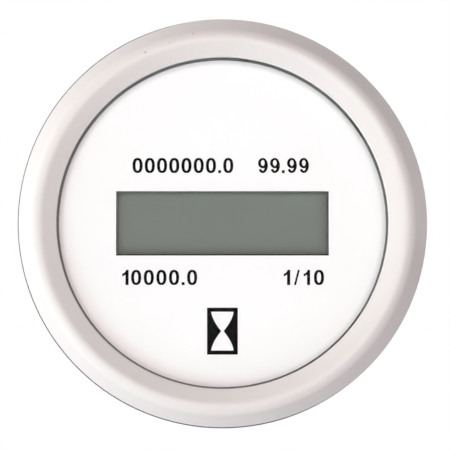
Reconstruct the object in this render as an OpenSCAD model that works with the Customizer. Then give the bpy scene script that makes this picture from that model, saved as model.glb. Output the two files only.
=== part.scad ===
// Round digital hour meter for a panel hole: a moulded case with a bezel sprung over its rim, a blank
// liquid crystal display behind a printed dial, and a U bracket that pulls the bezel down on the panel.
// The gauge axis is Y, with +Y running back through the panel. +Z is up on the dial. The origin
// is on the gauge axis, in the plane of the panel's front face.

/* [Barrel and panel] */
// Diameter of the barrel that passes through the panel hole
barrel_d = 51.8; // [51:0.1:56]
// Depth of the barrel behind the front face of the panel
barrel_depth = 29; // [27:0.5:40]
// Radius of the barrel's rear edge
barrel_edge = 4; // [3:0.25:5]
// Wall of the moulded case
case_wall = 1.6; // [1.3:0.1:1.8]
// Thickness of the panel that the bracket is set for
panel_t = 3.2; // [2.5:0.1:6]
// Thickness of the rubber gasket under the bezel
gasket_t = 0.8; // [0.5:0.1:1.5]
// Width of the gasket ring
gasket_w = 2.6; // [1.6:0.1:3]
// Gap between the barrel and the gasket
gasket_gap = 0.9; // [0.6:0.1:1.2]

/* [Case front] */
// Thickness of the flange that lies over the panel
flange_t = 1.2; // [1:0.1:2]
// How far the dial, seal and lens reach past the barrel
seat_step = 0.7; // [0.5:0.05:1.2]
// Play round the dial, seal and lens
lens_play = 0.2; // [0.1:0.05:0.3]
// Wall of the rim that stands round the dial and lens
rim_wall = 1; // [0.8:0.05:1.4]
// How far the rim stops short of the bezel's lip
rim_short = 0.2; // [0.1:0.05:0.5]

/* [Bezel] */
// Wall of the bezel's skirt
skirt_wall = 2.1; // [1.8:0.05:3]
// Play between the case rim and the bezel's skirt
snap_play = 0.1; // [0.05:0.01:0.2]
// Height of the snap bead on the case rim
snap_bead = 0.25; // [0.15:0.01:0.35]
// Length of the snap bead along the axis
snap_len = 0.7; // [0.5:0.05:1]
// How far the bezel's lip reaches over the lens
lip_overlap = 2.4; // [1.6:0.05:2.6]
// Thickness of the lip at its inner edge
lip_t = 1.15; // [0.8:0.05:1.6]
// Radius of the crest
crest_radius = 1.65; // [1.2:0.05:1.8]
// Distance of the crest's centre from the outside of the bezel
crest_in = 3.2; // [2.9:0.05:3.5]
// Fall of the inner slope in degrees
inner_slope = 30; // [18:1:34]
// Fall of the outer slope in degrees
outer_slope = 58; // [50:1:62]

/* [Lens and dial] */
// Thickness of the clear lens
lens_t = 1.8; // [1.2:0.1:2.5]
// Thickness of the seal between dial and lens
seal_t = 0.6; // [0.4:0.05:1]
// Width of seal that shows inside the bezel's lip
seal_show = 0.2; // [0.1:0.05:0.6]
// Thickness of the dial plate
dial_t = 0.8; // [0.6:0.05:1.2]
// Distance of the dial window's ends from the edge of the visible dial
window_side = 8.575; // [8.3:0.025:10]
// Height of the dial window
window_h = 9.1; // [8:0.05:10]
// Width of the printed line round the window
outline_w = 0.16; // [0.1:0.01:0.4]
// Width of the printed hourglass panel
mark_w = 4.5; // [3.5:0.05:5]
// Height of the printed hourglass panel
mark_h = 6.86; // [5.5:0.02:7.2]
// Distance of the hourglass panel from the edge of the visible dial
mark_margin = 4.77; // [3.5:0.01:6]
// Thickness of the printing ink
ink_t = 0.05; // [0.03:0.01:0.08]

/* [Display] */
// Thickness of each display glass
glass_t = 1; // [0.7:0.05:1.1]
// Thickness of each display film
film_t = 0.2; // [0.15:0.01:0.3]
// Margin of the films round the dial window
film_margin = 0.575; // [0.4:0.025:0.7]
// Side margin of the front glass past the holder's opening
glass_grip = 1.7; // [1.4:0.05:1.9]
// Ledge of the front glass that carries the contacts
ledge_w = 2.45; // [2.3:0.05:2.7]
// Thickness of the holder's front lip
holder_lip = 0.9; // [0.7:0.05:1.1]
// Height of the rubber contact strips
strip_h = 3.6; // [3:0.1:4.5]
// Width of the rubber contact strips
strip_w = 1.7; // [1.4:0.05:1.8]

/* [Circuit board] */
// Thickness of the circuit board
board_t = 1.6; // [1:0.1:2]
// Gap between the board's edge and the case wall
board_gap = 1.5; // [1.2:0.1:1.6]
// Radius of the posts that carry the board
post_r = 2.8; // [2.4:0.1:3]
// Distance of the posts from the board's edge
post_in = 3.3; // [3.1:0.1:3.6]
// Diameter of the board screws
screw_d = 2.5; // [2.2:0.1:3]

/* [Rear terminals] */
// Width of the push-on terminal blades
blade_w = 6.3; // [4.8:0.1:6.6]
// Thickness of the terminal blades
blade_t = 0.8; // [0.5:0.1:1]
// Length of the terminal blades behind their pads
blade_len = 8; // [6.5:0.1:9]
// Distance between the middles of the two blades
blade_pitch = 14; // [13:0.5:15]
// Distance of the blades below the gauge axis
blade_drop = 13; // [12.5:0.25:13.5]

/* [Clamp bracket] */
// Width of the bracket's strap
strap_w = 13; // [11:0.5:14]
// Thickness of the bracket's strap
strap_t = 1.5; // [1:0.1:2]
// Inside bend radius of the strap
bend_r = 1.5; // [1:0.1:2.5]
// Gap between the barrel and the bracket's legs
leg_gap = 1.3; // [1.2:0.1:1.6]
// Thread diameter of the bracket studs
stud_d = 4; // [3:0.1:5]
// Distance between the two bracket studs
stud_pitch = 25; // [22:0.5:28]
// Length of stud that stands out of its nut
stud_end = 4; // [2:0.5:8]
// Length of the slots in the bracket
slot_l = 7; // [5.5:0.1:8]
// Diameter of the thumb nuts
nut_d = 10; // [8.5:0.1:11]
// Height of the thumb nuts
nut_h = 5.5; // [4:0.1:7]

/* [Hidden] */

$fn = 96;
over = 0.5;

white = [0.93, 0.93, 0.92];
black = [0.09, 0.09, 0.10];
dark_grey = [0.42, 0.42, 0.42];
clear = [0.85, 0.92, 0.95, 0.35];
lcd_green = [0.49, 0.51, 0.48];
board_green = [0.10, 0.33, 0.20];
brass = [0.80, 0.66, 0.33];
steel = [0.72, 0.73, 0.75];
tin = [0.78, 0.78, 0.80];

// Radii of the case and what it carries, from the axis outwards
barrel_r = barrel_d / 2;
bore_r = barrel_r - case_wall;
seat_r = barrel_r + seat_step;
rim_in_r = seat_r + lens_play;
rim_out_r = rim_in_r + rim_wall;
skirt_in_r = rim_out_r + snap_play;
bezel_r = skirt_in_r + skirt_wall;
aperture_r = seat_r - lip_overlap;
seal_in_r = aperture_r - seal_show;
window_w = 2 * (seal_in_r - window_side);
mark_drop = seal_in_r - mark_margin - mark_h / 2;

// Heights above the front face of the panel, from the gasket up to the lip
flange_z = gasket_t;
dial_z = flange_z + flange_t;
dial_front_z = dial_z + dial_t;
lens_z = dial_front_z + seal_t;
lip_z = lens_z + lens_t;
rim_top_z = lip_z - rim_short;
bead_z = (dial_z + rim_top_z) / 2;

// Heights below it, from the dial back to the stud ends
holder_gap = 0.1;
holder_z = dial_z - holder_gap;
front_glass_z = holder_z - holder_lip - glass_t;
rear_glass_z = front_glass_z - glass_t;
board_front_z = front_glass_z - strip_h;
board_rear_z = board_front_z - board_t;
rear_z = -barrel_depth;
rear_in_z = rear_z + case_wall;
boss_h = 0.8;
strap_z = rear_z - boss_h;
pad_h = 2;
pad_z = rear_z - pad_h;

// Small edges
edge_r = 0.3;
lip_edge_r = 0.35;
rim_edge_r = 0.8;
rim_chamfer = 0.3;
lens_chamfer = 0.25;

// Key on the case that keeps the dial level
key_w = 2;
key_in = 1;
key_play = 0.15;

// Hourglass, as shares of its printed panel
bulb_h_share = 0.83;
bulb_w_share = 0.725;
waist_share = 0.08;
bulb_steps = 8;
bulb_power = 1.6;

// Display widths and heights
film_w = window_w + 2 * film_margin;
film_h = window_h + 2 * film_margin;
film_play = 0.3;
opening_w = film_w + 2 * film_play;
opening_h = film_h + 2 * film_play;
front_glass_w = opening_w + 2 * glass_grip;
rear_margin = 0.4;
rear_glass_h = film_h + 2 * rear_margin;
front_glass_h = rear_glass_h + 2 * ledge_w;
glass_play = 0.1;
pocket_w = front_glass_w + 2 * glass_play;
pocket_h = front_glass_h + 2 * glass_play;
holder_end = 1.9;
holder_side = 1.7;
holder_w = pocket_w + 2 * holder_end;
holder_h = pocket_h + 2 * holder_side;
holder_corner = 1;
channel_w = strip_w + 2 * glass_play;
channel_l = front_glass_w - glass_grip - 2 * glass_play;
strip_l = channel_l - 2 * glass_play;
strip_y = pocket_h / 2 - channel_w / 2;
rib_drop = 0.1;
peg_r = 0.8;
peg_play = 0.05;
peg_head_r = 1.3;
peg_head_h = 0.6;
peg_x = holder_w / 2 - holder_end / 2;
peg_y = holder_h / 4;

// Board, its screws, and the posts that carry it: two just above the holder, and one at the bottom
board_r = bore_r - board_gap;
screw_play = 0.05;
screw_grip = 7;
screw_head_share = 0.92;
screw_head_r = screw_d * screw_head_share;
screw_head_h = 1.5;
screw_gap = 0.35;
post_place_r = board_r - post_in;
post_angle = asin((holder_h / 2 + screw_head_r + screw_gap) / post_place_r);
post_angles = [post_angle, 180 - post_angle, 270];
post_rib_t = 1.2;
screw_slot_t = 0.6;
screw_slot_depth = 0.8;
screw_slot_l = 2.8;

// Blades, their pads, and the slots that they pass through
blade_play = 0.05;
blade_x = blade_pitch / 2;
pad_margin = 1.7;
tip_chamfer = 1.2;
tip_taper = 1.6;
detent_r = 0.82;
detent_in = 3.6;
shoulder_w = 1;
shoulder_h = 2;
tail_w = 2.4;
tail_out = 0.9;

// Bracket studs, their pockets and nuts
stud_r = stud_d / 2;
stud_play = 0.1;
stud_x = stud_pitch / 2;
stud_head_r = stud_d;
stud_head_h = 2.4;
head_play = 0.08;
boss_r = stud_d + 1.6;
stud_chamfer = 0.5;
thread_play = 0.05;
washer_t = 1;
washer_r = stud_r + 1.6;
washer_split = 0.7;
washer_z = strap_z - strap_t - washer_t;
collar_h = 1.4;
collar_r = nut_d / 2 - 1;
nut_edge = 0.4;
nut_z = washer_z - nut_h;
stud_z = nut_z - stud_end;
leg_in_x = barrel_r + leg_gap;
leg_corner = 2.5;

// Pieces soldered to the back of the board, each [length, width, height]
mcu_size = [7, 7, 1.5];
memory_size = [4.9, 3.9, 1.5];
regulator_size = [6.5, 3.5, 1.6];
diode_size = [4.3, 2.6, 2.2];
crystal_size = [11.2, 4.6, 3.5];
capacitor_base = 6.6;
capacitor_d = 6.3;
capacitor_h = 5.4;
capacitor_base_h = 0.9;
chip_lift = 0.1;
resistor_size = [2, 1.25, 0.5];
chip_cap_size = [2, 1.25, 0.9];
lead_t = 0.2;
lead_reach = 1.1;
lead_bend = 0.48;

mcu_leads = 8;
mcu_pitch = 0.8;
mcu_lead_w = 0.35;
memory_leads = 4;
memory_pitch = 1.27;
memory_lead_w = 0.42;
crystal_foot_h = 0.5;
crystal_foot_out = 0.3;
tab_t = 0.3;
tab_w = 3;
tab_reach = 1.6;
leg_w = 0.7;
leg_pitch = 2.3;
base_corner = 1.3;

// Places of those pieces as shares of the board's radius
mcu_share = [-0.4, 0.06];
memory_share = [0.18, 0.16];
crystal_share = [-0.4, -0.33];
regulator_share = [0.62, 0.12];
capacitor_share = [0.4, -0.37];
diode_share = [0, 0.42];
resistor_shares = [[-0.82, 0.1], [-0.82, -0.05], [-0.3, 0.42], [-0.12, 0.72], [0.12, 0.72], [0.08, -0.1]];
chip_cap_shares = [[-0.5, 0.36], [0.22, 0.62], [0.4, 0.42], [0.68, -0.45]];

// Points of an arc about c, from angle a0 to a1
function arc(c, r, a0, a1, steps = 8) =
    [for (i = [0:steps]) c + r * [cos(a0 + (a1 - a0) * i / steps), sin(a0 + (a1 - a0) * i / steps)]];

// Turns a piece from the dial's frame, with z towards the viewer, to the upright gauge
module upright() {
    rotate([90, 0, 0]) children();
}

// Extrudes an outline from height z0 to z1 in the dial's frame
module slab(z0, z1) {
    translate([0, 0, z0]) linear_extrude(z1 - z0) children();
}

module box2(w, h) {
    square([w, h], center = true);
}

module rounded_box2(w, h, r) {
    polygon(concat(
        arc([w / 2 - r, h / 2 - r], r, 0, 90, 4),
        arc([-w / 2 + r, h / 2 - r], r, 90, 180, 4),
        arc([-w / 2 + r, -h / 2 + r], r, 180, 270, 4),
        arc([w / 2 - r, -h / 2 + r], r, 270, 360, 4)));
}

module ring(r_in, r_out, z0, z1) {
    difference() {
        translate([0, 0, z0]) cylinder(r = r_out, h = z1 - z0);
        translate([0, 0, z0 - over]) cylinder(r = r_in, h = z1 - z0 + 2 * over);
    }
}

// Puts its children on each board post
module at_posts() {
    for (a = post_angles) rotate([0, 0, a]) translate([post_place_r, 0, 0]) children();
}

module at_pegs() {
    for (x = [-peg_x, peg_x], y = [-peg_y, peg_y]) translate([x, y, 0]) children();
}

module at_studs() {
    for (x = [-stud_x, stud_x]) translate([x, 0, 0]) children();
}

// Stands its children on the back of the board, at a share of the board's radius
module on_board(place_share) {
    translate([place_share[0] * board_r, place_share[1] * board_r, board_rear_z])
        mirror([0, 0, 1]) children();
}

// One moulded ring: skirt round the case rim, crest, and a lip that holds the lens down
module bezel() {
    inner_normal = 90 + inner_slope;
    outer_normal = 90 - outer_slope;
    inner_dir = [cos(inner_normal), sin(inner_normal)];
    outer_dir = [cos(outer_normal), sin(outer_normal)];
    lip_c = [aperture_r + lip_edge_r, lip_z + lip_t - lip_edge_r];
    crest_r = bezel_r - crest_in;
    crest_z = (inner_dir * lip_c + lip_edge_r - crest_radius - inner_dir[0] * crest_r) / inner_dir[1];
    crest_c = [crest_r, crest_z];
    rim_r = bezel_r - rim_edge_r;
    rim_z = (outer_dir * crest_c + crest_radius - rim_edge_r - outer_dir[0] * rim_r) / outer_dir[1];
    groove_half = snap_len / 2 + snap_play;
    groove_r = skirt_in_r + snap_bead;
    color(white) upright() rotate_extrude() polygon(concat(
        [[skirt_in_r, flange_z]],
        arc([bezel_r - edge_r, flange_z + edge_r], edge_r, -90, 0, 3),
        arc([rim_r, rim_z], rim_edge_r, 0, outer_normal, 5),
        arc(crest_c, crest_radius, outer_normal, inner_normal, 16),
        arc(lip_c, lip_edge_r, inner_normal, 180, 5),
        [[aperture_r, lip_z], [skirt_in_r, lip_z],
         [skirt_in_r, bead_z + groove_half + snap_bead], [groove_r, bead_z + groove_half],
         [groove_r, bead_z - groove_half], [skirt_in_r, bead_z - groove_half - snap_bead]]));
}

module panel_gasket() {
    color(black) upright() ring(barrel_r + gasket_gap, barrel_r + gasket_gap + gasket_w, 0, gasket_t);
}

// Flat clear disc with broken edges
module lens() {
    color(clear) upright() rotate_extrude() polygon([
        [0, lens_z], [seat_r - lens_chamfer, lens_z], [seat_r, lens_z + lens_chamfer],
        [seat_r, lip_z - lens_chamfer], [seat_r - lens_chamfer, lip_z], [0, lip_z]]);
}

module lens_seal() {
    color(dark_grey) upright() ring(seal_in_r, seat_r, dial_front_z, lens_z);
}

// White plate with the display window, and a notch at the bottom that keeps it level
module dial() {
    color(white) upright() difference() {
        translate([0, 0, dial_z]) cylinder(r = seat_r, h = dial_t);
        slab(dial_z - over, dial_front_z + over) box2(window_w, window_h);
        slab(dial_z - over, dial_front_z + over)
            translate([0, -seat_r]) box2(key_w + 2 * key_play, 2 * (key_in + key_play));
    }
}

module window_outline() {
    color(black) upright() slab(dial_front_z, dial_front_z + ink_t) difference() {
        box2(window_w + 2 * outline_w, window_h + 2 * outline_w);
        box2(window_w, window_h);
    }
}

// Two bulbs that meet at a narrow waist, left open in a printed panel
module hourglass_mark() {
    glass_h = mark_h * bulb_h_share;
    glass_w = mark_w * bulb_w_share;
    waist_w = mark_w * waist_share;
    color(black) upright() slab(dial_front_z, dial_front_z + ink_t) translate([0, -mark_drop]) difference() {
        box2(mark_w, mark_h);
        polygon([for (s = [[1, 1, false], [1, -1, true], [-1, -1, false], [-1, 1, true]])
            each bulb_side(s[0], s[1], glass_w, glass_h, waist_w, s[2])]);
    }
}

// Half of one side of the hourglass, from the rim to the waist or back, swelling like a bulb
function bulb_side(sx, sy, w, h, waist, back) =
    [for (i = [0:bulb_steps]) let (t = (back ? i : bulb_steps - i) / bulb_steps)
        [sx * (waist / 2 + (w - waist) / 2 * (1 - pow(1 - t, bulb_power))), sy * h / 2 * t]];

module display_front_film() {
    color(lcd_green) upright()
        slab(front_glass_z + glass_t, front_glass_z + glass_t + film_t) box2(film_w, film_h);
}

module display_front_glass() {
    color(clear) upright() slab(front_glass_z, front_glass_z + glass_t) box2(front_glass_w, front_glass_h);
}

module display_rear_glass() {
    color(clear) upright() slab(rear_glass_z, front_glass_z) box2(front_glass_w, rear_glass_h);
}

module display_rear_film() {
    color(lcd_green) upright() slab(rear_glass_z - film_t, rear_glass_z) box2(film_w, film_h);
}

// Frame that presses the glass on its contact strips, with four pegs staked through the board
module display_holder() {
    color(black) upright() {
        difference() {
            slab(board_front_z, holder_z) rounded_box2(holder_w, holder_h, holder_corner);
            slab(front_glass_z, holder_z + over) box2(opening_w, opening_h);
            slab(front_glass_z - rib_drop, front_glass_z + glass_t) box2(pocket_w, pocket_h);
            slab(board_front_z - over, front_glass_z) box2(pocket_w, rear_glass_h + 2 * glass_play);
            for (y = [-strip_y, strip_y])
                slab(board_front_z - over, front_glass_z) translate([0, y]) box2(channel_l, channel_w);
        }
        at_pegs() translate([0, 0, board_rear_z - peg_head_h / 2]) {
            cylinder(r = peg_r, h = board_front_z - board_rear_z + peg_head_h / 2 + glass_play);
        }
        at_pegs() translate([0, 0, board_rear_z - peg_head_h]) cylinder(r = peg_head_r, h = peg_head_h);
    }
}

module contact_strip(y) {
    slab(board_front_z, front_glass_z) translate([0, y]) box2(strip_l, strip_w);
}

module upper_contact_strip() {
    color("pink") upright() contact_strip(strip_y);
}

module lower_contact_strip() {
    color("pink") upright() contact_strip(-strip_y);
}

// Round board with holes for pegs and screws, and slots for the terminal tails
module circuit_board() {
    color(board_green) upright() difference() {
        translate([0, 0, board_rear_z]) cylinder(r = board_r, h = board_t);
        at_pegs() translate([0, 0, board_rear_z - over])
            cylinder(r = peg_r + peg_play, h = board_t + 2 * over);
        at_posts() translate([0, 0, board_rear_z - over])
            cylinder(r = screw_d / 2 + peg_play, h = board_t + 2 * over);
        for (x = [-blade_x, blade_x])
            slab(board_rear_z - over, board_front_z + over) translate([x, -blade_drop])
                box2(tail_w + 2 * blade_play, blade_t + 2 * blade_play);
    }
}

// Leads along one side of a chip, bent down to the board, with the side's face at x = 0
module lead_row(count, pitch, w, h) {
    for (i = [0:count - 1])
        translate([0, (i - (count - 1) / 2) * pitch + w / 2, 0]) rotate([90, 0, 0])
            linear_extrude(w) polygon([
                [-lead_t, h / 2], [lead_bend, h / 2], [lead_bend + lead_t, lead_t],
                [lead_reach, lead_t], [lead_reach, 0], [lead_bend, 0],
                [lead_bend - lead_t, h / 2 - lead_t], [-lead_t, h / 2 - lead_t]]);
}

// A moulded chip with lead rows on two sides, or on four
module leaded_chip(size, per_side, pitch, lead_w, four_sides) {
    translate([0, 0, chip_lift]) slab(0, size[2] - chip_lift) box2(size[0], size[1]);
    for (a = [0, 180]) rotate([0, 0, a])
        translate([size[0] / 2, 0, 0]) lead_row(per_side, pitch, lead_w, size[2]);
    if (four_sides)
        for (a = [90, 270]) rotate([0, 0, a])
            translate([size[1] / 2, 0, 0]) lead_row(per_side, pitch, lead_w, size[2]);
}

module microcontroller() {
    color(black) upright() on_board(mcu_share) leaded_chip(mcu_size, mcu_leads, mcu_pitch, mcu_lead_w, true);
}

module memory_chip() {
    color(black) upright() on_board(memory_share) rotate([0, 0, 90])
        leaded_chip([memory_size[1], memory_size[0], memory_size[2]],
            memory_leads, memory_pitch, memory_lead_w, false);
}

module stadium2(l, w) {
    union() {
        box2(l - w, w);
        for (x = [-(l - w) / 2, (l - w) / 2]) translate([x, 0]) circle(d = w);
    }
}

// Welded can on its flange
module crystal() {
    color(tin) upright() on_board(crystal_share) {
        slab(0, crystal_foot_h) stadium2(crystal_size[0], crystal_size[1]);
        slab(0, crystal_size[2])
            stadium2(crystal_size[0] - 2 * crystal_foot_out, crystal_size[1] - 2 * crystal_foot_out);
    }
}

// Moulded body with a wide heat tab on one side and three legs on the other
module voltage_regulator() {
    color(black) upright() on_board(regulator_share) {
        slab(0, regulator_size[2]) box2(regulator_size[0], regulator_size[1]);
        slab(0, tab_t) translate([0, regulator_size[1] / 2]) box2(tab_w, 2 * tab_reach);
        for (i = [-1:1])
            slab(0, tab_t) translate([i * leg_pitch, -regulator_size[1] / 2]) box2(leg_w, 2 * tab_reach);
    }
}

// Aluminium can on a moulded base with two cut corners
module capacitor() {
    half = capacitor_base / 2;
    color(tin) upright() on_board(capacitor_share) {
        slab(0, capacitor_base_h) polygon([[-half, -half], [half, -half], [half, half - base_corner],
            [half - base_corner, half], [-half + base_corner, half], [-half, half - base_corner]]);
        cylinder(d = capacitor_d, h = capacitor_h);
    }
}

module diode() {
    color(black) upright() on_board(diode_share) {
        slab(0, diode_size[2]) box2(diode_size[0], diode_size[1]);
        slab(0, tab_t) box2(diode_size[0] + 2 * leg_w, diode_size[1] / 2);
    }
}

module chip_resistors() {
    color(black) upright() for (s = resistor_shares)
        on_board(s) slab(0, resistor_size[2]) box2(resistor_size[0], resistor_size[1]);
}

module chip_capacitors() {
    color("tan") upright() for (s = chip_cap_shares)
        on_board(s) slab(0, chip_cap_size[2]) box2(chip_cap_size[0], chip_cap_size[1]);
}

// Pan head screws with a cross recess
module board_screws() {
    color(steel) upright() at_posts() difference() {
        union() {
            translate([0, 0, board_front_z]) cylinder(r = screw_head_r, h = screw_head_h);
            translate([0, 0, board_rear_z - screw_grip])
                cylinder(d = screw_d, h = board_t + screw_grip + screw_head_h / 2);
        }
        for (a = [0, 90]) rotate([0, 0, a])
            slab(board_front_z + screw_head_h - screw_slot_depth, board_front_z + screw_head_h + over)
                box2(screw_slot_l, screw_slot_t);
    }
}

// Half of the case's section: rear wall, barrel, flange, and the rim with its snap bead
module case_section() {
    corner = [barrel_r - barrel_edge, rear_z + barrel_edge];
    polygon(concat(
        [[0, rear_z]],
        arc(corner, barrel_edge, -90, 0, 8),
        [[barrel_r, flange_z], [rim_out_r, flange_z],
         [rim_out_r, bead_z - snap_len / 2 - snap_bead], [rim_out_r + snap_bead, bead_z - snap_len / 2],
         [rim_out_r + snap_bead, bead_z + snap_len / 2], [rim_out_r, bead_z + snap_len / 2 + snap_bead],
         [rim_out_r, rim_top_z - rim_chamfer], [rim_out_r - rim_chamfer, rim_top_z],
         [rim_in_r, rim_top_z], [rim_in_r, dial_z], [bore_r, dial_z]],
        arc(corner, barrel_edge - case_wall, 0, -90, 8),
        [[0, rear_in_z]]));
}

// One moulding: can, flange, snap rim, board posts, stud pockets and terminal pads
module case() {
    color(black) upright() difference() {
        union() {
            rotate_extrude() case_section();
            at_posts() translate([0, 0, rear_z + case_wall / 2])
                cylinder(r = post_r, h = board_rear_z - rear_z - case_wall / 2);
            for (a = post_angles) rotate([0, 0, a])
                slab(rear_z + barrel_edge, board_rear_z - post_r)
                    translate([(post_place_r + bore_r + case_wall / 2) / 2, 0])
                        box2(bore_r + case_wall / 2 - post_place_r, post_rib_t);
            at_studs() translate([0, 0, strap_z]) cylinder(r = boss_r, h = boss_h + case_wall / 2);
            at_studs() translate([0, 0, rear_z + case_wall / 2])
                cylinder(r = boss_r, h = case_wall / 2 + stud_head_h);
            for (x = [-blade_x, blade_x])
                slab(pad_z, rear_z + case_wall / 2) translate([x, -blade_drop])
                    rounded_box2(blade_w + 2 * pad_margin, blade_t + 2 * pad_margin, pad_margin / 2);
            slab(dial_z - flange_t / 2, dial_front_z)
                translate([0, -(seat_r - key_in + rim_in_r + rim_wall / 2) / 2])
                    box2(key_w, rim_in_r + rim_wall / 2 - seat_r + key_in);
        }
        at_studs() translate([0, 0, strap_z - over])
            cylinder(r = stud_r + stud_play, h = boss_h + case_wall + stud_head_h + 2 * over);
        at_studs() translate([0, 0, rear_in_z])
            cylinder(r = stud_head_r + head_play, h = stud_head_h + over, $fn = 6);
        at_posts() translate([0, 0, board_rear_z - screw_grip - over])
            cylinder(r = screw_d / 2 + screw_play, h = screw_grip + 2 * over);
        for (x = [-blade_x, blade_x])
            slab(pad_z - over, rear_in_z + over) translate([x, -blade_drop])
                box2(blade_w + 2 * blade_play, blade_t + 2 * blade_play);
    }
}

// Stamped blade: a push-on tab outside, a shoulder on the rear wall, and a tail to the board
module terminal_blade() {
    tip_z = pad_z - blade_len;
    shoulder_z = rear_in_z + shoulder_h;
    half = blade_w / 2;
    wide = half + shoulder_w;
    translate([0, -blade_drop + blade_t / 2, 0]) rotate([90, 0, 0]) linear_extrude(blade_t) difference() {
        polygon([
            [-half + tip_chamfer, tip_z], [half - tip_chamfer, tip_z], [half, tip_z + tip_taper],
            [half, rear_in_z], [wide, rear_in_z], [wide, shoulder_z],
            [tail_w / 2, shoulder_z + shoulder_h], [tail_w / 2, board_front_z + tail_out],
            [-tail_w / 2, board_front_z + tail_out], [-tail_w / 2, shoulder_z + shoulder_h],
            [-wide, shoulder_z], [-wide, rear_in_z], [-half, rear_in_z], [-half, tip_z + tip_taper]]);
        translate([0, tip_z + detent_in]) circle(r = detent_r);
    }
}

module positive_terminal() {
    color(brass) upright() translate([blade_x, 0, 0]) terminal_blade();
}

module negative_terminal() {
    color(brass) upright() translate([-blade_x, 0, 0]) terminal_blade();
}

// Hexagon heads in the case's pockets, with the threaded shanks out of the rear wall
module bracket_studs() {
    color(steel) upright() at_studs() {
        translate([0, 0, rear_in_z]) cylinder(r = stud_head_r, h = stud_head_h, $fn = 6);
        rotate_extrude() polygon([
            [0, stud_z], [stud_r - stud_chamfer, stud_z], [stud_r, stud_z + stud_chamfer],
            [stud_r, rear_in_z + stud_head_h / 2], [0, rear_in_z + stud_head_h / 2]]);
    }
}

// Folded strap: a slotted bridge behind the case and two legs that press on the panel's back
module clamp_bracket() {
    leg_out_x = leg_in_x + strap_t;
    bridge_z = strap_z - strap_t;
    outer_bend = bend_r + strap_t;
    leg_l = -panel_t - bridge_z;
    color(steel) upright() difference() {
        intersection() {
            rotate([90, 0, 0]) translate([0, 0, -strap_w / 2]) linear_extrude(strap_w) difference() {
                polygon(concat(
                    [[leg_out_x, -panel_t], [-leg_out_x, -panel_t]],
                    arc([-leg_out_x + outer_bend, bridge_z + outer_bend], outer_bend, 180, 270, 6),
                    arc([leg_out_x - outer_bend, bridge_z + outer_bend], outer_bend, 270, 360, 6)));
                polygon(concat(
                    [[leg_in_x, -panel_t + over], [-leg_in_x, -panel_t + over]],
                    arc([-leg_in_x + bend_r, strap_z + bend_r], bend_r, 180, 270, 6),
                    arc([leg_in_x - bend_r, strap_z + bend_r], bend_r, 270, 360, 6)));
            }
            rotate([0, 90, 0]) translate([0, 0, -leg_out_x - over]) linear_extrude(2 * (leg_out_x + over))
                polygon(concat(
                    [[-bridge_z + over, -strap_w / 2], [-bridge_z + over, strap_w / 2]],
                    arc([panel_t + leg_corner, strap_w / 2 - leg_corner], leg_corner, 90, 180, 6),
                    arc([panel_t + leg_corner, -strap_w / 2 + leg_corner], leg_corner, 180, 270, 6)));
        }
        at_studs() slab(bridge_z - over, strap_z + over) stadium2(slot_l, stud_d + 4 * stud_play);
    }
}

// Spring washers, split once
module lock_washers() {
    color(steel) upright() at_studs() difference() {
        ring(stud_r + stud_play, washer_r, washer_z, washer_z + washer_t);
        slab(washer_z - over, washer_z + washer_t + over) translate([washer_r / 2, 0]) rotate([0, 0, 20])
            box2(2 * washer_r, washer_split);
    }
}

// Turned thumb nuts with a plain collar against the washer
module bracket_nuts() {
    bore = stud_r + thread_play;
    color(brass) upright() at_studs() rotate_extrude() polygon([
        [bore, nut_z], [nut_d / 2 - nut_edge, nut_z], [nut_d / 2, nut_z + nut_edge],
        [nut_d / 2, washer_z - collar_h - nut_edge], [nut_d / 2 - nut_edge, washer_z - collar_h],
        [collar_r, washer_z - collar_h], [collar_r, washer_z], [bore, washer_z]]);
}

bezel();
panel_gasket();
lens();
lens_seal();
dial();
window_outline();
hourglass_mark();
display_front_film();
display_front_glass();
display_rear_glass();
display_rear_film();
display_holder();
upper_contact_strip();
lower_contact_strip();
circuit_board();
microcontroller();
memory_chip();
crystal();
voltage_regulator();
capacitor();
diode();
chip_resistors();
chip_capacitors();
board_screws();
case();
positive_terminal();
negative_terminal();
bracket_studs();
clamp_bracket();
lock_washers();
bracket_nuts();
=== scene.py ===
"""Round panel hour meter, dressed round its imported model. Metres, +Y back through the panel, +Z up."""
import math

import bmesh
import bpy
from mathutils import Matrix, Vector


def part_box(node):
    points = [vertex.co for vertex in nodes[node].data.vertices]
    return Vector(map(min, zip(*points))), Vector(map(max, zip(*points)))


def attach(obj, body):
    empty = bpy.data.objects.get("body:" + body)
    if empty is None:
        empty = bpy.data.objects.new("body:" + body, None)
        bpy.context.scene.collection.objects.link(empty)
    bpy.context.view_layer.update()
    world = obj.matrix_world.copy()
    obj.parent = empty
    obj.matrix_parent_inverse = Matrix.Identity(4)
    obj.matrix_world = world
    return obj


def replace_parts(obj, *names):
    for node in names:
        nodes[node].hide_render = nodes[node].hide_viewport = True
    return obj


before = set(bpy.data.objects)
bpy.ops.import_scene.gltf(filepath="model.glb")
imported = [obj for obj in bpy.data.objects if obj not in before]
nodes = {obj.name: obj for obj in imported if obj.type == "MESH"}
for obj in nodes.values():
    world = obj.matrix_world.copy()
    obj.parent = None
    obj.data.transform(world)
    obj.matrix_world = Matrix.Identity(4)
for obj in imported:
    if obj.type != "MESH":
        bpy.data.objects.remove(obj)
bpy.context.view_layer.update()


# Studio: the meter is seen square on from a little below, against plain white.
# The room is three soft washes of light, from behind, the front and the upper left, with two softboxes low
# on the left. The pale floor lies well below the meter and carries its soft shadow.
PHOTO_SIDE = 450
METER_PX = (222.4, 223.5)
METER_PX_WIDE = 408.4
CAMERA_DISTANCE = 0.40
CAMERA_ELEVATION = math.radians(-2.5)
SENSOR_MM = 36.0
AIM_DEPTH = -0.0025
NEAR_CLIP = 0.01

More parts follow.
